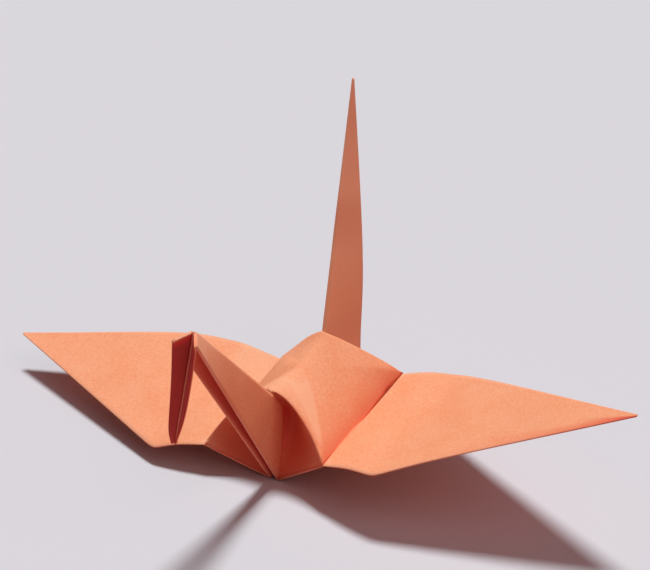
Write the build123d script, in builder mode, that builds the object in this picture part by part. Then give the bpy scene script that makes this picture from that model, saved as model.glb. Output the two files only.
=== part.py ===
from build123d import *
from math import atan2, cos, degrees, radians, sin, sqrt, tan
import os

# Origami crane folded from one square sheet of paper.
# +X is the side of the raised wing, -Y is the way the head points and +Z is up.
# The crane stands on the lower corners of its body, at z = 0.

# Driving dimensions, in mm and degrees
sheet_side = 150.0          # the square sheet
paper = 0.10                # thickness of the paper
ply_gap = 0.06              # air between two layers of a folded point
body_half_width = 14.2      # from the middle plane to a wing fold
front_wall_lean = 51.3      # how far the flanks lean in at the neck
back_wall_lean = 26.7       # how far the flanks lean in at the tail
neck_corner_drop = 3.3      # corner of the neck's reverse fold, below the hinge line
tail_corner_drop = 1.5      # corner of the tail's reverse fold, below the hinge line
neck_tilt = -2.4            # neck out of the middle plane
tail_tilt = -5.5            # tail out of the middle plane
head_crease_spine = 53.7    # from the neck's pivot to the head crease, along the neck's back
head_crease_edge = 55.7     # the same along the neck's front edges
head_half_opening = 2.7     # each half of the beak, out of the middle of the head
crevice_middle = 0.9        # between a wing fold and the hump, half way along
crevice_end = 0.3           # the same at the corners, where the layers are held together
side_puff = 1.2             # how far the blown-up hump swells at its sides
rear_lift = 1.0             # how far it lifts the hump's corner at the tail
gusset_roll = 1.3           # how far the soft edges of the hump roll in, half way along
left_root_drop = 3.4        # how much lower the left wing's fold hangs
wing_slit = 0.6             # between the raw edges under a wing
wing_crest = 0.2            # how far a wing's middle line stands up from its fold
tip_width = 0.5             # blunt end of each point
tip_paper = 0.06            # the layers, pressed thin at the points
tip_gap = 0.02
crease_overlap = 0.05       # how far a panel runs past its crease
strip_tuck = 0.02           # how far a strip is tucked into the layer that it lies on
foot_trim = 0.15            # taken off the lower corners, where they stand

# Each wing: its rise above the horizontal, how far its wide corners hang at the head and
# tail ends, how far its edges arch up beyond them, and its tip's place toward the tail.
right_wing = {"rise": 18.2, "droop": (0.8, 2.5), "arch": (0.5, 0.4), "shift": -1.1}
left_wing = {"rise": -0.3, "droop": (2.9, 1.0), "arch": (0.0, 2.1), "shift": 2.2}
arch_share = 0.18           # where the arch lies, from the wide corners to the tip

# Crease pattern of the folded base, as it lies flat: u runs from head to tail, and v up
# toward the wing tips, from the point where the four points of the base part.
half_side = sheet_side / 2
narrow = tan(radians(90 / 8))
wide = tan(radians(90 / 4))
crown_v = half_side * wide
fold_v = (crown_v - half_side * narrow) / (1 + narrow)
corner_v = half_side * (wide - narrow) / (wide + narrow)


def edge_u(v):
    """Half width of the narrowed base at height v."""
    return (v + half_side) * narrow


strip_v = corner_v - edge_u(corner_v)


def flat(a, b):
    """Distance between two points of the crease pattern."""
    return sqrt((a[0] - b[0]) ** 2 + (a[1] - b[1]) ** 2)


def meet(x, first, first_reach, second, second_reach):
    """The two points of the plane X = x at given distances from two other points."""
    a = Vector(x, first.Y, first.Z)
    b = Vector(x, second.Y, second.Z)
    reach_a = sqrt(first_reach**2 - (first.X - x) ** 2)
    reach_b = sqrt(second_reach**2 - (second.X - x) ** 2)
    span = (b - a).length
    along = (b - a) * (1 / span)
    run = (span**2 + reach_a**2 - reach_b**2) / (2 * span)
    rise = sqrt(reach_a**2 - run**2)
    across = Vector(0, -along.Z, along.Y)
    return [a + along * run + across * rise, a + along * run - across * rise]


def height(point):
    return point.Z


def flip(point):
    """The same point on the other side of the middle plane."""
    return Vector(-point.X, point.Y, point.Z)


def mix(a, b, share):
    return a + (b - a) * share


# Flanks, as flat sheets that lean in from the wing folds
patterns = {
    "E": (edge_u(fold_v), fold_v),
    "C": (0, fold_v),
    "M": (0, 0),
}
ends = {
    "front": (-1, front_wall_lean, neck_corner_drop),
    "back": (1, back_wall_lean, tail_corner_drop),
}
wall = {}
for end, (way, lean, drop) in ends.items():
    down = Vector(-sin(radians(lean)), 0, -cos(radians(lean)))
    marks = patterns | {"R": (edge_u(-drop), -drop)}
    wall[end] = {
        name: Vector(body_half_width, way * u, 0) + down * (fold_v - v)
        for name, (u, v) in marks.items()
    }

# The body is pitched until its four lower corners stand level
front_foot = wall["front"]["R"]
back_foot = wall["back"]["R"]
level = -degrees(atan2(back_foot.Z - front_foot.Z, back_foot.Y - front_foot.Y))
ground = front_foot.rotate(Axis.X, level).Z
for end in ends:
    wall[end] = {
        name: point.rotate(Axis.X, level) - Vector(0, 0, ground + foot_trim)
        for name, point in wall[end].items()
    }

# Points in the middle plane: the crown O, the pivots T and the soft corners V of the hump
E_front, E_back = wall["front"]["E"], wall["back"]["E"]
R_front, R_back = wall["front"]["R"], wall["back"]["R"]
fold_mark = patterns["E"]
crown_reach = flat((0, crown_v), fold_mark)
O = max(meet(0, E_front, crown_reach, E_back, crown_reach), key=height)


def pivot(foot, drop, shoulder, ahead):
    """Where the spine of the neck or tail leaves the body."""
    corner_reach = flat((edge_u(-drop), -drop), (0, 0))
    pair = meet(0, foot, corner_reach, shoulder, flat(fold_mark, (0, 0)))
    return pair[1] if ahead else pair[0]


def soft_corner(shoulder, leg):
    """Where the popped hump turns down, on the diagonal of the sheet from crown to pivot."""
    half = fold_mark[0]
    rows = [(leg - O) * -2, (shoulder - O) * -2]
    fixed = [
        crown_v**2 - (leg.dot(leg) - O.dot(O)),
        2 * half**2 - (shoulder.dot(shoulder) - O.dot(O)),
    ]
    slope = [-2 * crown_v, -2 * half]
    area = rows[0].Y * rows[1].Z - rows[0].Z * rows[1].Y

    def solve(pair):
        y = (pair[0] * rows[1].Z - rows[0].Z * pair[1]) / area
        z = (rows[0].Y * pair[1] - pair[0] * rows[1].Y) / area
        return Vector(0, y, z)

    start, step = solve(fixed), solve(slope)
    a = step.dot(step) - 1
    b = 2 * (start - O).dot(step)
    c = (start - O).dot(start - O)
    root = sqrt(b * b - 4 * a * c)
    middle = crown_v * 0.4
    share = min((-b + root) / (2 * a), (-b - root) / (2 * a), key=lambda s: abs(s - middle))
    return start + step * share


T_front = pivot(R_front, neck_corner_drop, E_front, True)
T_back = pivot(R_back, tail_corner_drop, E_back, False)
V_front = soft_corner(E_front, T_front)
V_back = soft_corner(E_back, T_back) + Vector(0, 0, rear_lift)


def point_tip(leg, foot, drop, lean):
    """Free end of the neck or tail, before the head is folded."""
    reach = flat((edge_u(-drop), -drop), (0, -half_side))
    tip = max(meet(0, leg, half_side, foot, reach), key=height)
    return (tip - leg).rotate(Axis.Y, lean) + leg


neck_tip = point_tip(T_front, R_front, neck_corner_drop, neck_tilt)
tail_tip = point_tip(T_back, R_back, tail_corner_drop, tail_tilt)

# Head: the crease crosses the neck's back at K and its two front edges at G
K = mix(T_front, neck_tip, head_crease_spine / half_side)
spine_mark = (0, -head_crease_spine)
edge_mark = (edge_u(-head_crease_edge), -head_crease_edge)
neck_corner = (edge_u(-neck_corner_drop), -neck_corner_drop)


def head_corner(x, foot):
    pair = meet(x, K, flat(spine_mark, edge_mark), foot, flat(neck_corner, edge_mark))
    return min(pair, key=height)


G_right = head_corner(K.X + head_half_opening, R_front)
G_left = head_corner(K.X - head_half_opening, flip(R_front))
G_middle = mix(G_right, G_left, 0.5)
half_spread = (G_right - G_left).length / 2
ahead = (G_middle - K).normalized()
beak_axis = ahead.cross(G_right - G_left).normalized()
brow = (G_middle - K).length
spine_left = half_side - head_crease_spine
edge_left = flat(edge_mark, (0, -half_side))
forward = (spine_left**2 - edge_left**2 + brow**2 + half_spread**2) / (2 * brow)
below = sqrt(spine_left**2 - forward**2)
beak_tip = K + ahead * forward + beak_axis * (below if beak_axis.Z < 0 else -below)


# Sections of the folded sheet
def ribbon(path, thickness):
    """Closed outline of a bent strip of constant thickness about a path in the plane."""
    sides = ([], [])
    for i, point in enumerate(path):
        before = (point - path[i - 1]).normalized() if i else None
        after = (path[i + 1] - point).normalized() if i < len(path) - 1 else None
        before, after = before or after, after or before
        lean = (before + after).normalized()
        out = Vector(-lean.Y, lean.X) * (thickness / 2 / sqrt((1 + before.dot(after)) / 2))
        sides[0].append(point + out)
        sides[1].append(point - out)
    return sides[0] + sides[1][::-1]


def section(plane, path, thickness):
    """The folded sheet where a plane cuts it."""
    with BuildSketch(plane) as cut:
        with BuildLine():
            Polyline(*ribbon(path, thickness), close=True)
        make_face()
    return cut.sketch


def vee_path(arm, opening, thickness, pitch):
    """A folded point: its closed spine along x, and two arms toward +y.

    Each arm has four layers, rolled in from its edge. The edges are 2 * opening apart.
    """
    spine_half = 3 * pitch + thickness
    slant = (opening - spine_half) / arm
    along = Vector(slant, sqrt(1 - slant**2))
    inward = Vector(-along.Y, along.X)
    corner = Vector(spine_half, 0)
    hem = pitch
    side = [
        corner + along * run + inward * (ply * pitch)
        for run, ply in (
            (hem, 1),
            (arm - hem, 1),
            (arm - hem, 2),
            (hem, 2),
            (hem, 3),
            (arm, 3),
            (arm, 0),
            (0, 0),
        )
    ]
    return side + [Vector(-p.X, p.Y) for p in reversed(side)]


def vee_section(spine, right, left):
    """Section of a folded point through its spine and its two open edges."""
    middle = mix(right, left, 0.5)
    lateral = (right - left).normalized()
    plane = Plane(spine, x_dir=lateral, z_dir=lateral.cross(middle - spine))
    opening = (right - left).length / 2
    depth = (middle - spine).length
    pitch = paper + ply_gap
    arm = sqrt(depth**2 + (opening - 3 * pitch - paper) ** 2)
    return section(plane, vee_path(arm, opening, paper, pitch), paper)


def tip_section(base, right, left, tip):
    """Blunt end of a folded point, where its edges have drawn together."""
    middle = mix(right, left, 0.5)
    lateral = (right - left).normalized()
    axis = (tip - mix(base, middle, 0.5)).normalized()
    toward = axis.cross(lateral)
    toward = toward if toward.dot(middle - base) > 0 else toward * -1
    plane = Plane(tip, x_dir=lateral, z_dir=lateral.cross(toward))
    pitch = tip_paper + tip_gap
    path = vee_path(tip_width, 3 * pitch + 2 * tip_paper, tip_paper, pitch)
    return section(plane, path, tip_paper)


def wing_section(middle, front, back, up, crest=0):
    """A wing's section: one sheet above and two below, whose raw edges meet in the middle."""
    along = (back - front).normalized()
    normal = (up - along * up.dot(along)).normalized()
    plane = Plane(middle, x_dir=along, z_dir=along.cross(normal))
    a, c = (plane.to_local_coords(p) for p in (front, back))
    under = Vector(0, -paper - ply_gap)
    slit = Vector(wing_slit / 2, 0)
    top = Vector(0, crest)
    path = [top + under - slit, a + under, a, top, c, c + under, top + under + slit]
    return section(plane, [Vector(p.X, p.Y) for p in path], paper)


# Folded forms
def panel(corners, plies=1, outward=None, tuck=0):
    """A flat piece of the sheet, grown past its creases, with its plies laid outward.

    A strip that lies on another layer is tucked a little into it.
    """
    a, b, c = corners[0], corners[1], corners[2]
    plane = Plane(a, x_dir=b - a, z_dir=(b - a).cross(c - a))
    if outward is not None and plane.z_dir.dot(outward) < 0:
        plane = Plane(a, x_dir=b - a, z_dir=plane.z_dir * -1)
    local = [plane.to_local_coords(p) for p in corners]
    with BuildSketch(plane.offset(tuck - paper / 2)) as outline:
        with BuildLine():
            Polyline(*[(p.X, p.Y) for p in local], close=True)
        make_face()
        offset(amount=crease_overlap - tuck, kind=Kind.INTERSECTION)
    return extrude(outline.sketch, amount=plies * paper - tuck, mode=Mode.PRIVATE)


def fan(hub, rim, plies=1, outward=None):
    """Triangles about a corner, for a piece of the sheet that bends along its diagonals."""
    return [panel([hub, a, b], plies, outward) for a, b in zip(rim, rim[1:])]


def neck():
    """Neck and head: one ruled form through the neck's foot, the head crease and the beak."""
    cuts = [
        vee_section(T_front, R_front, flip(R_front)),
        vee_section(K, G_right, G_left),
        tip_section(K, G_right, G_left, beak_tip),
    ]
    return loft(cuts, ruled=True, mode=Mode.PRIVATE)


def tail():
    """Tail: the same section, drawn together to its tip."""
    cuts = [
        vee_section(T_back, R_back, flip(R_back)),
        tip_section(T_back, R_back, flip(R_back), tail_tip),
    ]
    return loft(cuts, ruled=True, mode=Mode.PRIVATE)


def side_marks(side):
    """Corners of the flanks on one side, by end."""
    drop = Vector(0, 0, left_root_drop if side < 0 else 0)
    marks = {}
    for end in ends:
        at = {name: Vector(side * p.X, p.Y, p.Z) for name, p in wall[end].items()}
        at["E"] -= drop
        at["C"] -= drop
        at["I"] = mix(at["M"], at["C"], strip_v / fold_v)
        at["S"] = mix(at["C"], at["E"], (fold_v - strip_v) / edge_u(fold_v))
        corner_drop = ends[end][2]
        at["H"] = mix(at["R"], at["E"], corner_drop / (corner_drop + fold_v))
        marks[end] = at
    return marks


def wing(side, shape):
    """A wing, from its fold to its tip, with the strips folded in under its root."""
    marks = side_marks(side)
    front, back = marks["front"]["E"], marks["back"]["E"]
    along = (back - front).normalized()
    out = Vector(side * cos(radians(shape["rise"])), 0, sin(radians(shape["rise"])))
    out = (out - along * out.dot(along)).normalized()
    up = out.cross(along) if out.cross(along).Z > 0 else along.cross(out)
    root = mix(front, back, 0.5)
    middle = root + out * (corner_v - fold_v)
    reach = along * edge_u(corner_v)
    corners = [
        middle - reach - up * shape["droop"][0],
        middle + reach - up * shape["droop"][1],
    ]
    tip = root + out * (half_side - fold_v) + along * shape["shift"]
    lip = along * (tip_width / 2)
    arch = [mix(p, tip, arch_share) + up * h for p, h in zip(corners, shape["arch"])]
    arch_middle = mix(middle, tip, arch_share) + up * (sum(shape["arch"]) / 2)
    cuts = [
        wing_section(root, front, back, up, wing_crest),
        wing_section(middle, corners[0], corners[1], up, wing_crest),
        wing_section(arch_middle, arch[0], arch[1], up, wing_crest),
        wing_section(tip, tip - lip, tip + lip, up, wing_crest / 4),
    ]
    below = up * (-2 * paper - ply_gap)
    strips = [
        panel([marks[end]["E"] + below, corner + below, marks[end]["S"] + below], 2, -up)
        for end, corner in zip(ends, corners)
    ]
    return [loft(cuts, ruled=True, mode=Mode.PRIVATE), *strips]


def body_half(side):
    """One side of the body: its flank, its strips, the hump above and the folds between."""
    outside = Vector(side, 0, -0.2)
    marks = side_marks(side)
    inward = Vector(-side, 0, 0)
    hump_middle = marks["front"]["C"] + inward * crevice_middle
    shoulder = {end: marks[end]["E"] + inward * crevice_end for end in ends}
    pieces = []
    for end, leg, soft in (("front", T_front, V_front), ("back", T_back, V_back)):
        at = marks[end]
        pieces += fan(at["M"], [at["R"], at["E"], at["C"]], 2, outside)
        for strip in ("MRE", "MESI"):
            pieces.append(panel([at[name] for name in strip], 4, outside, strip_tuck))
        pieces += fan(at["M"], [hump_middle, shoulder[end], at["H"]])
        roll_in = (mix(O, shoulder[end], 0.5) - mix(soft, shoulder[end], 0.5)).normalized()
        roll = mix(soft, shoulder[end], 0.5) + roll_in * gusset_roll
        pieces += fan(O, [soft, roll, shoulder[end]])
        pieces += fan(leg, [soft, roll, shoulder[end], at["R"], at["M"]])
    face = (O - hump_middle).cross(shoulder["back"] - shoulder["front"]).normalized()
    face = face if face.Z > 0 else face * -1
    swell = mix(hump_middle, O, 1 / 3) + face * side_puff
    pieces += fan(swell, [O, shoulder["front"], hump_middle, shoulder["back"], O])
    pieces += fan(marks["front"]["C"], [marks["front"]["M"], marks["back"]["M"]])
    return pieces


with BuildPart() as crane:
    add([neck(), tail(), *wing(1, right_wing), *wing(-1, left_wing), *body_half(1), *body_half(-1)])
    split(bisect_by=Plane.XY, keep=Keep.TOP)

# The origin is on the ground, under the middle of the crane's overall size
middle = crane.part.bounding_box().center()
crane.part.move(Location((-middle.X, -middle.Y, 0)))

crane.part.label = "paper_crane"
os.makedirs("parts", exist_ok=True)
export_step(crane.part, "parts/paper_crane.step")
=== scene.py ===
from collections import namedtuple
from math import cos, radians, sin

import bmesh
import bpy
from bpy.props import (
    FloatProperty,
    FloatVectorProperty,
    IntProperty,
    PointerProperty,
)
from bpy.types import Operator, Panel, PropertyGroup
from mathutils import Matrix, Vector


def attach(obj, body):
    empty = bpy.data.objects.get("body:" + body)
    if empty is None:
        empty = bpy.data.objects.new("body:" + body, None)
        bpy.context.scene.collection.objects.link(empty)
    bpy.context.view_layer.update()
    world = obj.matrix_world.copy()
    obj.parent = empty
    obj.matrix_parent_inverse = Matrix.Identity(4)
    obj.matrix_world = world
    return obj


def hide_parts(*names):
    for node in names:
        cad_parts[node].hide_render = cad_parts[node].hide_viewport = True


bl_info = {
    "name": "Origami Crane",
    "version": (1, 0, 0),
    "blender": (4, 5, 0),
    "location": "3D View > Sidebar > Crane",
    "description": "Folds a paper crane over its CAD frame, one sheet form at a time",
    "category": "Object",
}

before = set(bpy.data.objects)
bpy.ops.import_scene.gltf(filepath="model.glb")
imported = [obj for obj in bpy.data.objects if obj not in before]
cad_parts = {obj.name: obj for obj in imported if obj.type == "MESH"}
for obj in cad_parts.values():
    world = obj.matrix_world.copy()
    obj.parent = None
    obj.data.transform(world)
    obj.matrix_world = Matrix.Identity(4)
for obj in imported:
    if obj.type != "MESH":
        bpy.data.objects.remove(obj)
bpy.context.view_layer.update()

# Points and lengths are in millimetres where no comment says metres. Points are taken from
# the ground under the middle of the body: +X is the side of the raised wing, -Y is the way
# the head points and +Z is up.
MM = 0.001
BODY_AT = Vector((1.48, 6.68, 0.0))

# Fold corners of the right side. The left side is their mirror image, apart from its wing
# fold, which hangs lower.
FOLDS = {
    "crown": (0.0, -1.2, 21.5),
    "neck_ridge": (-0.5, -13.5, 21.3),
    "tail_ridge": (-0.7, 9.3, 24.75),
    "neck_pivot": (0.0, -0.7, 7.5),
    "tail_pivot": (0.0, 3.8, 3.5),
    "wing_front": (14.2, -17.5, 10.1),
    "wing_middle": (14.2, 0.0, 11.7),
    "wing_back": (14.35, 17.85, 13.8),
    "front_foot": (1.1, -13.1, 0.2),
    "back_foot": (7.5, 15.9, 0.2),
    "front_keel": (3.7, 0.8, 3.3),
    "back_keel": (8.1, 1.2, 0.2),
    "head_spine": (-1.6, -38.3, 45.8),
    "head_right": (1.1, -41.6, 45.1),
    "head_left": (-4.3, -41.6, 45.0),
    "beak_tip": (-1.0, -46.7, 26.7),
    "tail_tip": (-6.6, 33.4, 71.9),
}
LOWERED = ("wing_front", "wing_middle", "wing_back")
# The left side's rear corner is pulled out, forward and down
LEFT_BACK_PULL = Vector((-0.2, -0.75, -0.75))

# How far each line of the hump swells out, on the right side and on the left
HUMP_SWELL = {
    "soft": (1.6, 2.9),
    "fold": (1.1, 1.1),
    "quarter_front": (0.8, 1.6),
    "across": (1.3, 2.8),
    "quarter_back": (1.3, 2.9),
    "rear_fold": (1.1, 2.3),
    "rear_soft": (0.6, 0.9),
}
# The way its two faces swell, and the lines of its front gusset on the right side
RIGHT_FACE = (0.69, 0, 0.72)
LEFT_FACE = (-0.85, 0, 0.5)
SOFT_OUT = (0.2, 0.5, 0.8)
FOLD_OUT = (0.76, 0.5, 0.3)
# How full a swollen line is near its ends: 1 is a plain arch, and less is fuller
FULLNESS = 0.6
GUSSET_RISE = 0.2
BESIDE_FOLD_SHARE = 0.08
REAR_WALL_IN = (0, -1.5, 0)
# The seam behind the neck: half its width, where its middle is, and its y and z
NECK_SEAM = (
    (0.4, -0.5, -12.8, 19.1),
    (0.5, -0.45, -11.7, 15.3),
    (0.7, -0.4, -10.9, 11.1),
    (0.75, -0.1, -11.7, 6.3),
)
SEAM_FOOT_IN = (0.2, 0, 0)
# The front mouth's wall: places along it, the share of the way from the seam to the soft
# edge and of the pocket's depth in each of its rows, and the pocket on the right side
WALL_PLACES = (0, 0.25, 0.5, 0.7, 0.85, 1.0)
WALL_ROWS = ((0.3, 1.0), (0.75, 0.55))
POCKET = (-1.0, 7.0, -1.5)
HUMP_STEPS = 5
# Rows of the hump's sheet, from the seam at the neck back to the tail
SEAM, SOFT, GUSSET, FOLD, BESIDE_FOLD, REAR_FOLD, REAR_SOFT = 0, 3, 4, 5, 6, 10, 12
# Columns of the hump's sheet, from the left wing's fold to the right one
LEFT_END, MIDDLE, RIGHT_END = 0, HUMP_STEPS, 2 * HUMP_STEPS
HUMP_COLUMNS = range(RIGHT_END + 1)
HUMP_ENDS = (LEFT_END, RIGHT_END)
MOUTH_ROWS = range(SEAM, SOFT)
FACE_ROWS = range(BESIDE_FOLD, REAR_FOLD + 1)
GUSSET_ROWS = (GUSSET, FOLD)

# Marks on the hump's sheet: rows, columns and amount. Where the dye is rubbed thin along the
# folds, and a painted highlight that pales the gusset:
HUMP_WEAR_AND_HIGHLIGHT = (
    ((REAR_SOFT,), HUMP_COLUMNS, 0.95),
    ((GUSSET,), HUMP_COLUMNS, 0.97),
    ((FOLD,), HUMP_COLUMNS, 1.0),
    ((GUSSET,), (0, 1, 9, 10), 0.85),
)
# Painted shade, darker where shade falls in the pocket, along the soft edges and low on the faces
# by the crevices; below 0, painted light: a glow at the pocket's top and a highlight on the
# gusset:
HUMP_PAINTED_LIGHT_AND_SHADE = (
    (MOUTH_ROWS, (4, 5, 6), -0.6),
    (MOUTH_ROWS, (2, 8), 0.05),
    (MOUTH_ROWS, (0, 1, 9, 10), 0.35),
    ((SOFT,), (0, 1, 2, 3, 7, 8, 9, 10), 0.3),
    (GUSSET_ROWS, (1, 9), 0.08),
    (GUSSET_ROWS, (2, 8), -0.1),
    (GUSSET_ROWS, (3, 4, 5, 6, 7), -0.4),
    (FACE_ROWS, (2, 8), 0.05),
    (FACE_ROWS, (1, 9), 0.18),
    (FACE_ROWS, HUMP_ENDS, 0.45),
)
# Where smoothing leaves the corners in place:
HUMP_PINS = (
    (range(SOFT, REAR_SOFT + 1), HUMP_ENDS, 1.0),
    ((SOFT,), (MIDDLE,), 1.0),
    ((FOLD,), (MIDDLE,), 0.5),
    ((REAR_SOFT,), (MIDDLE,), 0.6),
)
HUMP_CREASES = {FOLD: 0.9, REAR_FOLD: 0.35, REAR_SOFT: 0.45}
CROWN_CREASE = 0.25
WELD = 0.02
# The sheet beside a wing fold, on the right side: how far inside the keel line its lower
# edge lies, and the extra place in its upper edge
LINING_IN = (-0.5, 0, 0.3)
LINING_BEND = (0, 0.2, 0)
# Painted shade on the lining, which lies under the wing where shade falls
LINING_PAINTED_SHADE = 0.6

# Wings: how far the front and back corners droop, how far the front and back edges arch,
# how far back the tip lies, the length from the fold to the tip, how far the front corner
# is drawn toward the body, and how far the back edge lifts beside the fold
WingShape = namedtuple("WingShape", "side droop arch shift length drawn back_lifts")
WING_SHAPES = {
    "wing_right": WingShape(
        side=1,
        droop=(0.8, 2.5),
        arch=(0.5, 0.4),
        shift=-1.1,
        length=61.38,
        drawn=(0.0, 0.0, 0.0),
        back_lifts=(0.0, 0.6, 0.0),
    ),
    "wing_left": WingShape(
        side=-1,
        droop=(2.7, 0.45),
        arch=(0.0, 2.2),
        shift=2.2,
        length=60.5,
        drawn=(1.5, 0.4, 0.0),
        back_lifts=(0.0, 0.0, 0.15),
    ),
}
FRONT_LIFTS = (0.0, 0.6, 0.0)
# Where a wing is widest: how far out, and how far in front of and behind its middle
CORNER_REACH = 12.87
CORNER_HALF = 20.16
# Shares of the way from the body's feet up to the fold, from there to the widest place, and
# on to the tip, the last ones with their share of the arch
FLANK_SHARES = (1.0, 0.5, 0.12)
SPREAD_SHARES = (0.12, 0.5, 0.87)
TAPER = {0.0: 0.0, 0.07: 0.4, 0.2: 1.0, 0.45: 0.8, 0.75: 0.3, 0.97: 0.0, 1.0: 0.0}
# Half the gap between the upper sheet's two middle columns, half the tip's width, and the
# width of wing under which that gap narrows
NUDGE = 0.1
TIP_LIP = 0.25
NARROW_UNDER = 4
# Rows and columns of a wing's sheet, the columns on a fold, and the row on the wing fold
WING_ROWS = range(14)
WING_COLUMNS = range(12)
WING_FOLDS = (2, 3, 8, 9)
WING_FOLD_ROW = 3
WING_CREASE = 0.8
WING_WEAR = (
    ((WING_FOLD_ROW,), WING_COLUMNS, 0.8),
    (WING_ROWS, WING_FOLDS, 1.0),
)
WING_PINS = (((0,), WING_COLUMNS, 1.0),)
# Painted shade along the right wing's front edge near its tip, and painted highlight (below 0) on
# the left wing's back beside its root
WING_PAINTED_LIGHT_AND_SHADE = {
    "wing_right": (
        ((10,), (2, 3), 0.12),
        ((11,), (2, 3), 0.4),
        ((12, 13), (2, 3, 4), 0.7),
    ),
    "wing_left": ((range(3, 7), (7, 8), -0.5),),
}

# Strips: where their inner edge crosses the flank's inner edge, from the keel up, and the
# wing fold, from its middle out; how far they stay from the sheet's outer edge; how many
# layers they are thick and how many layers lie between them and the outer sheet
STRIP_ON_FLANK = 0.459
STRIP_ON_FOLD = 0.417
STRIP_INSET = 0.5
STRIP_LAYERS = 3
STRIP_DEPTH = 2.3
STRIP_SHARES = (0.06, 0.5, 0.97)

# A folded point's section: its columns on a fold, and those of the layers that face each
# other inside it
VEE_COLUMNS = range(20)
VEE_FOLDS = (0, 1, 2, 3, 4, 6, 7, 9, 10, 12, 13, 15, 16, 17, 18, 19)
VEE_INSIDE = (4, 5, 6, 13, 14, 15)
VEE_WEAR = 0.93
TIP_DEPTH = 0.5
NECK_SHARES = (0.0, 0.03, 0.35, 0.7, 0.97, 1.0)
HEAD_ROWS = (4, 5)
HEAD_FOLD_ROW = 5
# Painted highlight on the crown (below 0), painted shade on the facing layers inside the beak,
# and painted highlight that pales the whole tail
HEAD_PAINTED_HIGHLIGHT = -0.3
BEAK_PAINTED_SHADE = 1.7
TAIL_PAINTED_HIGHLIGHT = -0.9
# How far the right and left edges swell out on the way to the tip
BEAK_SWELL = {
    0.04: (0.1, 0.0),
    0.35: (0.55, 0.2),
    0.62: (0.8, 0.6),
    0.8: (0.65, 0.95),
    0.92: (0.25, 0.95),
    1.0: (0.0, 0.4),
}
TAIL_SWELL = {
    0.0: (0.0, 0.0),
    0.03: (0.0, 0.0),
    0.2: (-2.4, -1.9),
    0.4: (0.2, -0.2),
    0.7: (0.25, 0.0),
    0.97: (0.0, 0.0),
    1.0: (0.0, 0.0),
}
# Half the tip's width, and how much of the layers' spacing and of the spine is lost there
TipShape = namedtuple("TipShape", "half layer_loss spine_loss")
BEAK_TIP = TipShape(half=0.3, layer_loss=0.5, spine_loss=0.4)
TAIL_TIP = TipShape(half=0.08, layer_loss=0.85, spine_loss=0.5)

# Paper: sizes in fibres; how far grain, cloudy dye and the marked painted light and shade change
# the wear colour; and how far, in metres, and how strongly the ambient occlusion that paints
# shade into hollows and creases reaches
CLOUD_SIZE = 14
DENT_SIZE = 34
CLOUD_WEAR = 0.8
FIBRE_WEAR = 3.0
UNWORN = 1.5
PAINTED_LIGHT_ON_WEAR = 0.9
WORN_FROM = 0.93
WORN_TO = 1.04
WORN_MOST = 0.7
WORN_RAGGED = 0.1
AO_PAINTED_SHADE_REACH = 0.02
AO_PAINTED_SHADE_WEIGHT = 1.05

# Stage: where the lamps shine from, their spread, half the floor's side in metres, and the
# camera
SUN_FROM = (-0.086, 0.257, 1.0)
SUN_SPREAD = radians(12)
SIDE_FROM = (1.0, -0.3, 1.1)
SIDE_SPREAD = radians(50)
FLOOR_HALF = 3.0
CAMERA_YAW = radians(28.64)
CAMERA_PITCH = radians(26.33)
CAMERA_AWAY = 311.85
CAMERA_ASIDE = 4.35
CAMERA_HEIGHT = 193.5
SENSOR_WIDTH = 36
FOCAL_PIXELS = 1714
IMAGE_WIDTH = 650


class PaperSettings(PropertyGroup):
    thickness: FloatProperty(
        name="Paper thickness",
        description="Thickness of one layer",
        default=0.0001,
        min=0.00002,
        unit="LENGTH",
    )
    layer_gap: FloatProperty(
        name="Gap between layers",
        description="Air between two layers of a folded point",
        default=0.00006,
        min=0.0,
        unit="LENGTH",
    )
    colour: FloatVectorProperty(
        name="Paper colour",
        description="Dye of the sheet",
        subtype="COLOR",
        size=3,
        min=0.0,
        max=1.0,
        default=(0.915, 0.345, 0.162),
    )
    # Paler colour, both of dye rubbed thin along the folds and of painted highlights, where marks
    # below 0 pale the paper
    worn_and_highlight_colour: FloatVectorProperty(
        name="Worn colour",
        description="Where the dye is rubbed thin",
        subtype="COLOR",
        size=3,
        min=0.0,
        max=1.0,
        default=(0.965, 0.49, 0.285),
    )
    # Painted shade: the deep red that the paper is given where shade falls, in folds, hollows,
    # the pocket and under the wings
    painted_shade_colour: FloatVectorProperty(
        name="Deep colour",
        description="Colour inside the folds, where no wear or light has paled the dye",
        subtype="COLOR",
        size=3,
        min=0.0,
        max=1.0,
        default=(0.73, 0.06, 0.045),
    )
    # Painted shade: the darkest colour, for the shaded inside of the beak
    darkest_shade_colour: FloatVectorProperty(
        name="Hidden colour",
        description="Colour where two layers face each other closely, as in the beak",
        subtype="COLOR",
        size=3,
        min=0.0,
        max=1.0,
        default=(0.4, 0.055, 0.045),
    )
    fibre_size: FloatProperty(
        name="Fibre size",
        description="Size of the paper's grain",
        default=0.0005,
        min=0.0001,
        unit="LENGTH",
    )


class BodySettings(PropertyGroup):
    left_root_drop: FloatProperty(
        name="Left root drop",
        description="How much lower the left wing's fold hangs",
        default=0.0034,
        unit="LENGTH",
    )
    crevice_end: FloatProperty(
        name="Crevice, at its ends",
        description="Between a wing fold and the hump, at the corners",
        default=0.0003,
        unit="LENGTH",
    )
    crevice_middle: FloatProperty(
        name="Crevice, half way",
        description="Between a wing fold and the hump, half way along",
        default=0.0005,
        unit="LENGTH",
    )
    smoothing: IntProperty(
        name="Smoothing",
        description="Levels of subdivision of every sheet",
        default=3,
        min=1,
        max=4,
    )


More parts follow.
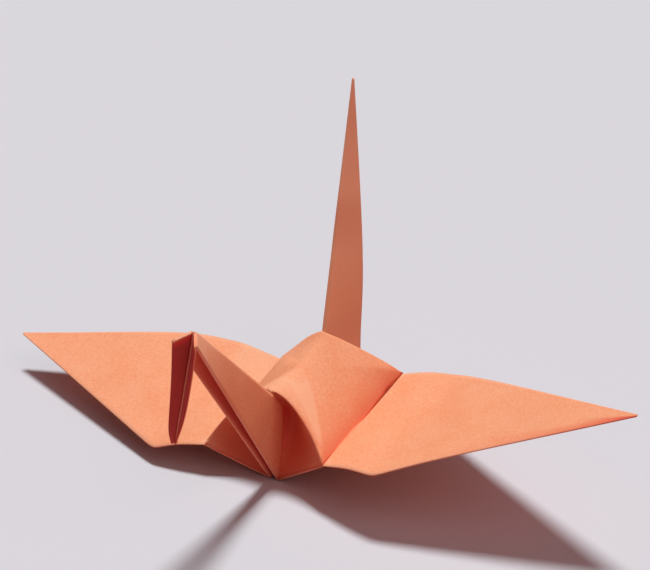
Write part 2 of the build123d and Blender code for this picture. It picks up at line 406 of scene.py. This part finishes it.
class WingSettings(PropertyGroup):
    right_rise: FloatProperty(
        name="Right wing's rise",
        description="Above the horizontal",
        default=radians(18.2),
        subtype="ANGLE",
        unit="ROTATION",
    )
    left_rise: FloatProperty(
        name="Left wing's rise",
        description="Above the horizontal",
        default=radians(0.15),
        subtype="ANGLE",
        unit="ROTATION",
    )
    slit: FloatProperty(
        name="Slit under a wing",
        description="Between the turned-in sheets under a wing",
        default=0.0006,
        unit="LENGTH",
    )


class StageSettings(PropertyGroup):
    floor_colour: FloatVectorProperty(
        name="Floor colour",
        description="Colour of the floor",
        subtype="COLOR",
        size=3,
        min=0.0,
        max=1.0,
        default=(0.68, 0.725, 0.77),
    )
    backdrop_colour: FloatVectorProperty(
        name="Backdrop colour",
        description="What the camera sees beyond the floor",
        subtype="COLOR",
        size=3,
        min=0.0,
        max=1.0,
        default=(0.7, 0.68, 0.72),
    )
    bounce_colour: FloatVectorProperty(
        name="Bounce colour",
        description="Colour of the light that the floor throws back on the crane",
        subtype="COLOR",
        size=3,
        min=0.0,
        max=1.0,
        default=(0.5, 0.25, 0.27),
    )
    side_colour: FloatVectorProperty(
        name="Side lamp colour",
        description="Colour of the soft lamp on the right",
        subtype="COLOR",
        size=3,
        min=0.0,
        max=1.0,
        default=(1.0, 0.66, 0.66),
    )
    fill_colour: FloatVectorProperty(
        name="Fill colour",
        description="Colour of the light from all around",
        subtype="COLOR",
        size=3,
        min=0.0,
        max=1.0,
        default=(1.0, 0.52, 0.52),
    )
    sun_strength: FloatProperty(
        name="Sun",
        description="Strength of the high lamp",
        default=2.56,
        min=0.0,
    )
    side_strength: FloatProperty(
        name="Side lamp",
        description="Strength of the soft lamp on the right",
        default=0.52,
        min=0.0,
    )
    fill_strength: FloatProperty(
        name="Fill",
        description="Strength of the light from all around",
        default=0.12,
        min=0.0,
    )


# Points and lines
def mirrored(point, side):
    """A point or a direction of the right side, taken to one side of the body."""
    x, y, z = point
    return Vector((side * x, y, z))


def corner(name, side=1):
    """A fold corner on one side of the body."""
    x, y, z = FOLDS[name]
    if side < 0 and name in LOWERED:
        z -= bpy.context.scene.crane_body.left_root_drop / MM
    place = mirrored((x, y, z), side)
    return place + LEFT_BACK_PULL if side < 0 and name == "wing_back" else place


def middle(name):
    """A fold corner in the crane's middle plane."""
    return Vector(FOLDS[name])


def bowed(start, end, steps, toward, height):
    """A line from start to end, pushed out evenly by a height between its ends."""
    push = Vector(toward).normalized() * height
    shares = [i / steps for i in range(steps + 1)]
    return [start.lerp(end, t) + push * (4 * t * (1 - t)) ** FULLNESS for t in shares]


# Sheets
def skin(rows):
    """A sheet through rows of points: the first is a chain of edges, the next are extruded."""
    bm = bmesh.new()
    bm.edges.layers.float.new("crease_edge")
    bm.verts.layers.float.new("crease_vert")
    bm.verts.layers.float.new("fold_wear_and_highlight")
    # Layer of painted light and shade marks
    bm.verts.layers.float.new("painted_light_and_shade")
    chain = [bm.verts.new(point) for point in rows[0]]
    edges = [bm.edges.new(pair) for pair in zip(chain, chain[1:])]
    grid = [chain]
    for row in rows[1:]:
        grown = bmesh.ops.extrude_edge_only(bm, edges=edges)["geom"]
        fresh = {item for item in grown if isinstance(item, bmesh.types.BMVert)}
        following = []
        for vertex, point in zip(chain, row):
            mate = next(
                edge.other_vert(vertex)
                for edge in vertex.link_edges
                if edge.other_vert(vertex) in fresh
            )
            mate.co = point
            following.append(mate)
        chain = following
        edges = [bm.edges.get(pair) for pair in zip(chain, chain[1:])]
        grid.append(chain)
    return bm, grid


def crease(bm, line, sharpness):
    """Marks the edges along a line of vertices as a fold."""
    layer = bm.edges.layers.float["crease_edge"]
    for pair in zip(line, line[1:]):
        edge = bm.edges.get(pair)
        edge[layer] = max(edge[layer], sharpness)


def crease_columns(bm, grid, columns, sharpness=1.0):
    """Marks columns of a sheet as folds."""
    for column in columns:
        crease(bm, [row[column] for row in grid], sharpness)


def mark(bm, grid, layer_name, marks):
    """Writes rows, columns and an amount at a time into one of the sheet's layers."""
    layer = bm.verts.layers.float[layer_name]
    for rows, columns, amount in marks:
        for row in rows:
            for column in columns:
                grid[row][column][layer] = amount


def finish_sheet(bm, name, thickness, weld=0.0):
    """Puts a sheet in the frame, gives it its thickness, and hangs it on the crane."""
    if weld:
        bmesh.ops.remove_doubles(bm, verts=bm.verts, dist=weld)
    bmesh.ops.recalc_face_normals(bm, faces=bm.faces)
    bmesh.ops.translate(bm, verts=bm.verts, vec=BODY_AT)
    bmesh.ops.scale(bm, verts=bm.verts, vec=(MM, MM, MM))
    for face in bm.faces:
        face.smooth = True
    mesh = bpy.data.meshes.new(name)
    bm.to_mesh(mesh)
    bm.free()
    sheet = bpy.data.objects.new(name, mesh)
    bpy.context.collection.objects.link(sheet)
    levels = bpy.context.scene.crane_body.smoothing
    subdivision = sheet.modifiers.new("Smooth", "SUBSURF")
    subdivision.levels = levels
    subdivision.render_levels = levels
    subdivision.boundary_smooth = "PRESERVE_CORNERS"
    wall = sheet.modifiers.new("Thickness", "SOLIDIFY")
    wall.thickness = thickness
    wall.offset = 0.0
    sheet.data.materials.append(paper_material())
    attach(sheet, "root")
    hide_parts("paper_crane")


def ply():
    """From the middle of one layer to the middle of the next, in millimetres."""
    paper = bpy.context.scene.crane_paper
    return (paper.thickness + paper.layer_gap) / MM


# Shaders
class Signal:
    """A shader socket that can be used in Python sums."""

    def __init__(self, shader, socket):
        self.shader = shader
        self.socket = socket

    def _with(self, operation, first, second):
        return self.shader.node("ShaderNodeMath", {"operation": operation}, {0: first, 1: second})

    def __add__(self, other):
        return self._with("ADD", self, other)

    def __radd__(self, other):
        return self._with("ADD", other, self)

    def __sub__(self, other):
        return self._with("SUBTRACT", self, other)

    def __rsub__(self, other):
        return self._with("SUBTRACT", other, self)

    def __mul__(self, other):
        return self._with("MULTIPLY", self, other)

    def __rmul__(self, other):
        return self._with("MULTIPLY", other, self)


class Shader:
    """The nodes of a material or of the world."""

    def __init__(self, owner):
        self.owner = owner
        owner.use_nodes = True
        self.tree = owner.node_tree

    def node(self, kind, settings=None, sockets=None, output=0):
        """Adds a node: its settings come first, then the values or links of its sockets."""
        added = self.tree.nodes.new(kind)
        for name, value in (settings or {}).items():
            setattr(added, name, value)
        for name, value in (sockets or {}).items():
            self.feed(added.inputs[name], value)
        return Signal(self, added.outputs[output])

    def noise(self, place, scale, detail, roughness):
        """A noise pattern."""
        sockets = {"Vector": place, "Scale": scale, "Detail": detail, "Roughness": roughness}
        return self.node("ShaderNodeTexNoise", sockets=sockets)

    def blend(self, factor, first, second):
        """A colour between two colours."""
        settings = {"data_type": "RGBA", "clamp_factor": True}
        sockets = {"Factor": factor, 6: first, 7: second}
        return self.node("ShaderNodeMix", settings, sockets, output=2)

    def attribute(self, name):
        """An amount marked on the sheet."""
        return self.node("ShaderNodeAttribute", {"attribute_name": name}, output="Fac")

    def feed(self, socket, value):
        """Links a socket, or sets its value."""
        if isinstance(value, Signal):
            self.tree.links.new(value.socket, socket)
        else:
            socket.default_value = value

    def set(self, node_name="Principled BSDF", **values):
        """Feeds sockets of a node that is there already."""
        node = self.tree.nodes[node_name]
        for name, value in values.items():
            self.feed(node.inputs[name.replace("_", " ")], value)

    def looking_rays(self):
        """1 for the rays that show the room, and 0 for those that light the crane."""
        camera, glossy, through = (
            self.node("ShaderNodeLightPath", output=f"Is {kind} Ray")
            for kind in ("Camera", "Glossy", "Transmission")
        )
        return camera + glossy + through


def opaque(colour):
    """A colour with its alpha."""
    return (*colour, 1.0)


def paper_material():
    """Dyed paper: short fibres, cloudy dye and a dry surface, with painted shade in hollows and
    marked folds and painted highlights where marked.
    """
    ready = bpy.data.materials.get("dyed_paper_with_painted_shade")
    if ready:
        return ready
    paper = bpy.context.scene.crane_paper
    sh = Shader(bpy.data.materials.new("dyed_paper_with_painted_shade"))
    place = sh.node("ShaderNodeTexCoord", output="Object")
    fibre_scale = 1 / paper.fibre_size
    fibres = sh.noise(place, fibre_scale, 4.0, 0.75)
    cloud = sh.noise(place, fibre_scale / CLOUD_SIZE, 3.0, 0.55)
    dents = sh.noise(place, fibre_scale / DENT_SIZE, 1.0, 0.4)
    # Painted light and shade marked on the sheets: above 0 darker where shade falls, below 0
    # paler where a highlight or glow is painted
    painted_light_shade_amount = sh.attribute("painted_light_and_shade")
    # Wear along the folds, and painted highlight on the gusset and the crown
    rubbed_and_highlight = sh.node(
        "ShaderNodeMapRange",
        {"clamp": True},
        {
            "Value": sh.attribute("fold_wear_and_highlight") + cloud * WORN_RAGGED,
            "From Min": WORN_FROM,
            "From Max": WORN_TO,
            "To Max": WORN_MOST,
        },
    )
    grain = cloud * CLOUD_WEAR + fibres * FIBRE_WEAR - UNWORN
    # Painted shade: ambient occlusion darkens the paper's colour in hollows and creases
    ao_painted_shade = 1 - sh.node(
        "ShaderNodeAmbientOcclusion",
        {"samples": 8, "only_local": True},
        {"Distance": AO_PAINTED_SHADE_REACH},
        output="AO",
    )
    # Wear colour from grain and rubbed folds, and painted highlight where the painted light and
    # shade mark is below 0
    wear_and_highlight_tint = sh.blend(
        grain + rubbed_and_highlight - painted_light_shade_amount * PAINTED_LIGHT_ON_WEAR,
        opaque(paper.colour),
        opaque(paper.worn_and_highlight_colour),
    )
    # Painted shade: blends toward the shade colour by ambient occlusion and by the marked painted
    # shade
    painted_shade_blend = sh.blend(ao_painted_shade * AO_PAINTED_SHADE_WEIGHT + painted_light_shade_amount, wear_and_highlight_tint, opaque(paper.painted_shade_colour))
    # Painted shade: marks above 1 darken the colour further, to the darkest shade colour inside
    # the beak
    darkest_shade_blend = sh.blend(painted_light_shade_amount - 1, painted_shade_blend, opaque(paper.darkest_shade_colour))
    bump = sh.node(
        "ShaderNodeBump",
        sockets={"Strength": 0.8, "Distance": 0.001, "Height": dents * 1.2 + fibres * 0.03},
    )
    sh.set(
        Base_Color=darkest_shade_blend,
        Roughness=fibres * 0.2 + 0.65,
        Normal=bump,
        Specular_IOR_Level=0.25,
    )
    return sh.owner


# Folded forms
def hump_edge(side):
    """The hump's lower edge along one wing fold, from the neck back to the tail."""
    body = bpy.context.scene.crane_body
    front, centre, back = (
        corner(name, side) for name in ("wing_front", "wing_middle", "wing_back")
    )
    end, half_way = body.crevice_end / MM, body.crevice_middle / MM
    # Each place on the fold, with how far inside it and how far below it the edge lies
    places = (
        (front, end, 0.0),
        (front.lerp(centre, 0.5), half_way * 1.5, 1.0),
        (centre, half_way * 1.4, 1.5),
        (back.lerp(centre, 0.3), half_way * 2.0, 0.6),
        (back, end / 3, 0.0),
    )
    return [p + Vector((-side * inward, 0, -sunk)) for p, inward, sunk in places]


def neck_seam(side, foot):
    """The line behind the neck that the front mouth's wall hangs on."""
    return [
        middle("neck_ridge"),
        *(Vector((side * half + x, y, z)) for half, x, y, z in NECK_SEAM),
        foot - mirrored(SEAM_FOOT_IN, side),
    ]


def mouth_walls(side, seam, soft):
    """Two rows between the seam and the soft edge, hollowed into a pocket."""
    pocket = mirrored(POCKET, side)
    return [
        [
            a.lerp(b, share) + pocket * (4 * t * (1 - t)) * depth
            for a, b, t in zip(seam, soft, WALL_PLACES)
        ]
        for share, depth in WALL_ROWS
    ]


def half_between(first, second):
    """The line half way between two lines."""
    return [a.lerp(b, 0.5) for a, b in zip(first, second)]


def hump_half(side):
    """Rows from the middle plane to one wing fold, from the neck back to the tail."""
    crown, tail_ridge = middle("crown"), middle("tail_ridge")
    front, front_edge, valley, back_edge, back = hump_edge(side)
    right = side > 0
    face = Vector(RIGHT_FACE if right else LEFT_FACE)

    def swollen(name, start, end, toward=face):
        return bowed(start, end, HUMP_STEPS, toward, HUMP_SWELL[name][0 if right else 1])

    soft = swollen("soft", middle("neck_ridge"), front, mirrored(SOFT_OUT, side))
    fold = swollen("fold", crown, front, mirrored(FOLD_OUT, side))
    gusset = [point + face * GUSSET_RISE for point in half_between(soft, fold)]
    quarter_front = swollen("quarter_front", crown, front_edge)
    beside_fold = [a.lerp(b, BESIDE_FOLD_SHARE) for a, b in zip(fold, quarter_front)]
    rear_fold = swollen("rear_fold", crown, back)
    rear_soft = swollen("rear_soft", tail_ridge, back)
    seam = neck_seam(side, corner("front_foot", side))
    bottom = bowed(middle("tail_pivot"), corner("back_foot", side), HUMP_STEPS, face, 0.0)
    rear_wall = [point + Vector(REAR_WALL_IN) for point in half_between(rear_soft, bottom)]
    return [
        seam,
        *mouth_walls(side, seam, soft),
        soft,
        gusset,
        fold,
        beside_fold,
        quarter_front,
        swollen("across", crown, valley),
        swollen("quarter_back", crown, back_edge),
        rear_fold,
        half_between(rear_fold, rear_soft),
        rear_soft,
        rear_wall,
        bottom,
    ]


class FoldHump(Operator):
    """Folds the blown-up hump between the wings, with the walls below its soft edges"""

    bl_idname = "crane.fold_hump"
    bl_label = "Fold hump"

    def execute(self, context):
        paper = context.scene.crane_paper
        rows = [
            list(reversed(left[1:])) + right
            for left, right in zip(hump_half(-1), hump_half(1))
        ]
        bm, grid = skin(rows)
        for row, sharpness in HUMP_CREASES.items():
            crease(bm, grid[row], sharpness)
        crease_columns(bm, grid[SOFT : FOLD + 1], [MIDDLE], CROWN_CREASE)
        mark(bm, grid, "fold_wear_and_highlight", HUMP_WEAR_AND_HIGHLIGHT)
        # Painted light and shade on the hump
        mark(bm, grid, "painted_light_and_shade", HUMP_PAINTED_LIGHT_AND_SHADE)
        mark(bm, grid, "crease_vert", HUMP_PINS)
        finish_sheet(bm, "hump", paper.thickness, weld=WELD)
        for side, label in ((1, "right"), (-1, "left")):
            self.line_hump(side, f"lining_{label}", paper)
        return {"FINISHED"}

    def line_hump(self, side, name, paper):
        """The hump's sheet goes on down beside a wing fold, to the keel."""
        edge = hump_edge(side)
        edge.insert(3, edge[2] + Vector(LINING_BEND))
        foot, keel, rear_keel, rear_foot = (
            corner(place, side)
            for place in ("front_foot", "front_keel", "back_keel", "back_foot")
        )
        bottom = [
            foot,
            foot.lerp(keel, 0.5),
            keel,
            rear_keel,
            rear_keel.lerp(rear_foot, 0.5),
            rear_foot,
        ]
        bottom = [point + mirrored(LINING_IN, side) for point in bottom]
        bm, grid = skin([edge, half_between(edge, bottom), bottom])
        # Painted shade over the whole lining
        mark(bm, grid, "painted_light_and_shade", [(range(3), range(len(edge)), LINING_PAINTED_SHADE)])
        finish_sheet(bm, name, paper.thickness)


def wing_row(front, middle_front, middle_back, back, below_front, below_back, slit):
    """A row across a wing: the upper sheet, and the turned-in sheets below it."""
    near = front.lerp(middle_front, 0.5)
    far = middle_back.lerp(back, 0.5)
    along = (back - front).normalized() * (slit / 2)
    turned_front = [p + below_front for p in (middle_front - along, near, front)]
    turned_back = [p + below_back for p in (back, far, middle_back + along)]
    return turned_front + [front, near, middle_front, middle_back, far, back] + turned_back


def away(first, second, side):
    """The direction square to two lines on a flank, and away from the body."""
    square = first.cross(second).normalized()
    return square if square.x * side > 0 else -square


def wing_rows(shape, rise, slit):
    """Rows of one wing's sheet, from the body's feet over the wing fold to the tip, and the
    rows of its strips."""
    layer = ply()
    side = shape.side
    front, centre, back = (corner(f"wing_{name}", side) for name in ("front", "middle", "back"))
    front_foot, back_foot = corner("front_foot", side), corner("back_foot", side)
    front_keel, back_keel = corner("front_keel", side), corner("back_keel", side)
    flank_front = away(front - centre, front_keel - centre, side)
    flank_back = away(centre - back, back_keel - centre, side)
    rows = [
        wing_row(
            front.lerp(front_foot, share),
            centre.lerp(front_keel, share),
            centre.lerp(back_keel, share),
            back.lerp(back_foot, share),
            flank_front * layer,
            flank_back * layer,
            slit,
        )
        for share in FLANK_SHARES
    ]
    along = (back - front).normalized()
    out = Vector((side * cos(rise), 0, sin(rise)))
    out = (out - along * out.dot(along)).normalized()
    up = out.cross(along)
    up = up if up.z > 0 else -up
    nudge = along * NUDGE
    below = (-up + (flank_front + flank_back) * 0.5).normalized() * layer
    rows.append(wing_row(front, centre - nudge, centre + nudge, back, below, below, slit))

    below = -up * layer
    root = front.lerp(back, 0.5)
    tip = root + out * shape.length + along * shape.shift
    wide = root + out * CORNER_REACH
    wide_front = wide - along * CORNER_HALF - up * shape.droop[0] + Vector(shape.drawn)
    wide_back = wide + along * CORNER_HALF - up * shape.droop[1]
    wide_middle = wide_front.lerp(wide_back, 0.5)
    roots = [(front, centre, back)]
    for share, front_lift, back_lift in zip(SPREAD_SHARES, FRONT_LIFTS, shape.back_lifts):
        a = front.lerp(wide_front, share) + up * front_lift
        c = back.lerp(wide_back, share) + up * back_lift
        m = centre.lerp(wide_middle, share)
        roots.append((a, m, c))
        rows.append(wing_row(a, m - nudge, m + nudge, c, below, below, slit))
    roots.append((wide_front, wide_middle, wide_back))

    lip = along * TIP_LIP
    front_arch, back_arch = shape.arch
    for share, lift in TAPER.items():
        a = wide_front.lerp(tip - lip, share) + up * (front_arch * lift)
        c = wide_back.lerp(tip + lip, share) + up * (back_arch * lift)
        m = wide_middle.lerp(tip, share) + up * ((front_arch + back_arch) / 2 * lift)
        narrow = min(1.0, (c - a).length / NARROW_UNDER)
        gap = nudge * narrow
        rows.append(wing_row(a, m - gap, m + gap, c, below, below, slit * narrow))

    outward_front = flank_front * layer * STRIP_DEPTH
    outward_back = flank_back * layer * STRIP_DEPTH
    below = -up * layer * STRIP_DEPTH
    strips = {
        "flank_strip_front": flank_strip(front_foot, front_keel, front, centre, outward_front),
        "wing_strip_front": wing_strip(roots, 0, below),
        "flank_strip_back": flank_strip(back_foot, back_keel, back, centre, outward_back),
        "wing_strip_back": wing_strip(roots, 2, below),
    }
    return rows, strips


def flank_strip(foot, keel, wing_end, centre, outward):
    """Rows of the strips that lie on a flank, from the keel to the wing fold."""
    top = [
        wing_end,
        centre.lerp(wing_end, STRIP_ON_FOLD),
        keel.lerp(centre, STRIP_ON_FLANK),
    ]
    inward = (keel - foot).normalized() * STRIP_INSET
    bottom = [foot + inward, foot.lerp(keel, 0.5), keel]
    # The corner itself moves, and the strip under the wing starts from it too
    top[0] += inward
    return [
        [low.lerp(high, share) + outward for low, high in zip(bottom, top)]
        for share in STRIP_SHARES
    ]


def wing_strip(roots, number, below):
    """Rows of the strip under a wing's root, from the wing fold to the wing's corner."""
    rows = []
    for step, root in enumerate(roots):
        edge, across = root[number], root[1]
        inset = STRIP_INSET / (across - edge).length
        width = (1 - STRIP_ON_FOLD) * (1 - step / (len(roots) - 1)) + inset / 2
        shares = (inset, inset + width / 2, inset + width)
        rows.append([edge.lerp(across, share) + below for share in shares])
    return rows


class FoldWings(Operator):
    """Folds each wing with its flank, and the strips turned in along the edges"""

    bl_idname = "crane.fold_wings"
    bl_label = "Fold wings"

    def execute(self, context):
        paper = context.scene.crane_paper
        wings = context.scene.crane_wings
        for name, shape in WING_SHAPES.items():
            rise = wings.right_rise if shape.side > 0 else wings.left_rise
            rows, strips = wing_rows(shape, rise, wings.slit / MM)
            bm, grid = skin(rows)
            crease_columns(bm, grid, WING_FOLDS)
            crease(bm, grid[WING_FOLD_ROW], WING_CREASE)
            mark(bm, grid, "fold_wear_and_highlight", WING_WEAR)
            # Painted light and shade on the wing
            mark(bm, grid, "painted_light_and_shade", WING_PAINTED_LIGHT_AND_SHADE[name])
            mark(bm, grid, "crease_vert", WING_PINS)
            finish_sheet(bm, name, paper.thickness)
            for strip, strip_rows in strips.items():
                bm, grid = skin(strip_rows)
                everywhere = (range(len(grid)), range(len(grid[0])), 1.0)
                mark(bm, grid, "crease_vert", [everywhere])
                label = strip + name.replace("wing", "")
                finish_sheet(bm, label, paper.thickness * STRIP_LAYERS)
        return {"FINISHED"}


def vee_row(spine, right, left, layer, thickness):
    """A folded point's section: its closed spine, and four layers in each arm."""
    half_way = right.lerp(left, 0.5)
    lateral = (right - left).normalized()
    depth = half_way - spine
    arm = depth.length
    down = depth.normalized()
    opening = (right - left).length / 2
    spine_half = 3 * layer + thickness
    along = Vector(((opening - spine_half) / arm, 1.0)).normalized()
    across = Vector((-along.y, along.x))
    start = Vector((spine_half, 0.0))
    reach = arm / along.y
    hem = layer
    plies = [
        (hem, 1),
        (reach - hem, 1),
        (reach - hem, 2),
        (hem, 2),
        (hem, 3),
        (reach / 2, 3),
        (reach, 3),
        (reach, 0),
        (reach / 2, 0),
        (0, 0),
    ]
    points = [start + along * run + across * (number * layer) for run, number in plies]
    points += [Vector((-p.x, p.y)) for p in reversed(points)]
    return [spine + lateral * p.x + down * p.y for p in points]


def tip_rows(spine, right, left, tip, shape, swells):
    """Sections of a folded point from its open end to its tip."""
    thickness = bpy.context.scene.crane_paper.thickness / MM
    toward = (right.lerp(left, 0.5) - spine).normalized() * TIP_DEPTH
    half = Vector((shape.half, 0, 0))
    return [
        vee_row(
            spine.lerp(tip, share),
            right.lerp(tip + toward + half, share) + Vector((swell_right, 0, 0)),
            left.lerp(tip + toward - half, share) - Vector((swell_left, 0, 0)),
            ply() * (1 - shape.layer_loss * share),
            thickness * (1 - shape.spine_loss * share),
        )
        for share, (swell_right, swell_left) in swells.items()
    ]


class FoldNeck(Operator):
    """Folds the neck and the head from one point of the sheet"""

    bl_idname = "crane.fold_neck"
    bl_label = "Fold neck"

    def execute(self, context):
        paper = context.scene.crane_paper
        pivot, spine = middle("neck_pivot"), middle("head_spine")
        right, left = middle("head_right"), middle("head_left")
        foot_right, foot_left = corner("front_foot"), corner("front_foot", -1)
        rows = [
            vee_row(
                pivot.lerp(spine, share),
                foot_right.lerp(right, share),
                foot_left.lerp(left, share),
                ply(),
                paper.thickness / MM,
            )
            for share in NECK_SHARES
        ]
        rows += tip_rows(spine, right, left, middle("beak_tip"), BEAK_TIP, BEAK_SWELL)
        bm, grid = skin(rows)
        crease_columns(bm, grid, VEE_FOLDS)
        crease(bm, grid[HEAD_FOLD_ROW], 1.0)
        every_row = range(len(grid))
        beak_rows = every_row[HEAD_FOLD_ROW + 1 :]
        # Wear along the folds and a painted highlight on the crown; painted shade inside the beak
        wear_and_highlight_marks = [(every_row, VEE_FOLDS, VEE_WEAR), (HEAD_ROWS, VEE_COLUMNS, 1.0)]
        painted_light_and_shade_marks = [(HEAD_ROWS, VEE_COLUMNS, HEAD_PAINTED_HIGHLIGHT), (beak_rows, VEE_INSIDE, BEAK_PAINTED_SHADE)]
        mark(bm, grid, "fold_wear_and_highlight", wear_and_highlight_marks)
        mark(bm, grid, "painted_light_and_shade", painted_light_and_shade_marks)
        finish_sheet(bm, "neck_and_head", paper.thickness)
        return {"FINISHED"}


class FoldTail(Operator):
    """Folds the tail from the opposite point of the sheet"""

    bl_idname = "crane.fold_tail"
    bl_label = "Fold tail"

    def execute(self, context):
        paper = context.scene.crane_paper
        pivot, tip = middle("tail_pivot"), middle("tail_tip")
        right, left = corner("back_foot"), corner("back_foot", -1)
        rows = tip_rows(pivot, right, left, tip, TAIL_TIP, TAIL_SWELL)
        bm, grid = skin(rows)
        crease_columns(bm, grid, VEE_FOLDS)
        every_row = range(len(grid))
        mark(bm, grid, "fold_wear_and_highlight", [(every_row, VEE_FOLDS, VEE_WEAR)])
        # Painted highlight: the whole tail is paler
        mark(bm, grid, "painted_light_and_shade", [(every_row, VEE_COLUMNS, TAIL_PAINTED_HIGHLIGHT)])
        finish_sheet(bm, "tail", paper.thickness)
        return {"FINISHED"}


def turned_to(direction):
    """Rotation of a lamp that shines from a direction."""
    return Vector(direction).to_track_quat("Z", "Y").to_euler()


class SetStage(Operator):
    """Sets the floor, the lamps and the camera"""

    bl_idname = "crane.set_stage"
    bl_label = "Set stage"

    def execute(self, context):
        stage = context.scene.crane_stage
        self.lay_floor(stage)
        self.hang_lamps(context, stage)
        self.light_room(context, stage)
        self.place_camera(context)
        context.scene.view_settings.view_transform = "Standard"
        return {"FINISHED"}

    def lay_floor(self, stage):
        """A plain floor that throws warm light back on the crane."""
        bm = bmesh.new()
        bmesh.ops.create_grid(bm, x_segments=1, y_segments=1, size=FLOOR_HALF)
        mesh = bpy.data.meshes.new("floor")
        bm.to_mesh(mesh)
        bm.free()
        floor = bpy.data.objects.new("floor", mesh)
        bpy.context.collection.objects.link(floor)
        sh = Shader(bpy.data.materials.new("pale_floor"))
        bounce, seen = opaque(stage.bounce_colour), opaque(stage.floor_colour)
        colour = sh.blend(sh.looking_rays(), bounce, seen)
        sh.set(Base_Color=colour, Roughness=0.9, Specular_IOR_Level=0.1)
        floor.data.materials.append(sh.owner)

    def hang_lamps(self, context, stage):
        """The high lamp and the soft lamp on the right."""
        white = (1.0, 1.0, 1.0)
        lamps = (
            ("sun", stage.sun_strength, white, SUN_SPREAD, SUN_FROM),
            ("side_lamp", stage.side_strength, stage.side_colour, SIDE_SPREAD, SIDE_FROM),
        )
        for name, strength, colour, spread, direction in lamps:
            lamp = bpy.data.lights.new(name, "SUN")
            lamp.energy = strength
            lamp.color = colour
            lamp.angle = spread
            hung = bpy.data.objects.new(name, lamp)
            context.collection.objects.link(hung)
            hung.rotation_euler = turned_to(direction)

    def light_room(self, context, stage):
        """Light from all around, and a pale backdrop beyond the floor."""
        context.scene.world = bpy.data.worlds.new("studio")
        sh = Shader(context.scene.world)
        sh.set("Background", Color=opaque(stage.fill_colour), Strength=stage.fill_strength)
        fill = Signal(sh, sh.tree.nodes["Background"].outputs["Background"])
        colour = opaque(stage.backdrop_colour)
        backdrop = sh.node("ShaderNodeBackground", sockets={"Color": colour})
        sockets = {"Fac": sh.looking_rays(), 1: fill, 2: backdrop}
        sh.set("World Output", Surface=sh.node("ShaderNodeMixShader", sockets=sockets))

    def place_camera(self, context):
        """The camera, in front of the crane, to its right and above it."""
        camera = bpy.data.cameras.new("camera")
        camera.sensor_width = SENSOR_WIDTH
        camera.lens = SENSOR_WIDTH * FOCAL_PIXELS / IMAGE_WIDTH
        viewer = bpy.data.objects.new("camera", camera)
        context.collection.objects.link(viewer)
        x = CAMERA_ASIDE * cos(CAMERA_YAW) + CAMERA_AWAY * sin(CAMERA_YAW)
        y = CAMERA_ASIDE * sin(CAMERA_YAW) - CAMERA_AWAY * cos(CAMERA_YAW)
        viewer.location = (Vector((x, y, CAMERA_HEIGHT)) + BODY_AT) * MM
        viewer.rotation_euler = (radians(90) - CAMERA_PITCH, 0, CAMERA_YAW)
        context.scene.camera = viewer


class CranePanel(Panel):
    """Sizes, colours and folding steps of the crane"""

    bl_idname = "VIEW3D_PT_crane"
    bl_label = "Origami Crane"
    bl_space_type = "VIEW_3D"
    bl_region_type = "UI"
    bl_category = "Crane"

    def draw(self, context):
        scene = context.scene
        for settings in (
            scene.crane_paper,
            scene.crane_body,
            scene.crane_wings,
            scene.crane_stage,
        ):
            box = self.layout.box()
            for name in settings.__annotations__:
                box.prop(settings, name)
        for step in STEPS:
            self.layout.operator(step.bl_idname)


STEPS = (FoldHump, FoldWings, FoldNeck, FoldTail, SetStage)
SETTINGS = {
    "crane_paper": PaperSettings,
    "crane_body": BodySettings,
    "crane_wings": WingSettings,
    "crane_stage": StageSettings,
}
CLASSES = (*SETTINGS.values(), *STEPS, CranePanel)


def register():
    for item in CLASSES:
        bpy.utils.register_class(item)
    for name, group in SETTINGS.items():
        setattr(bpy.types.Scene, name, PointerProperty(type=group))


def unregister():
    for name in SETTINGS:
        delattr(bpy.types.Scene, name)
    for item in reversed(CLASSES):
        bpy.utils.unregister_class(item)


def main():
    register()
    bpy.ops.crane.fold_hump()
    bpy.ops.crane.fold_wings()
    bpy.ops.crane.fold_neck()
    bpy.ops.crane.fold_tail()
    bpy.ops.crane.set_stage()
    bpy.context.view_layer.update()


if __name__ == "__main__":
    main()
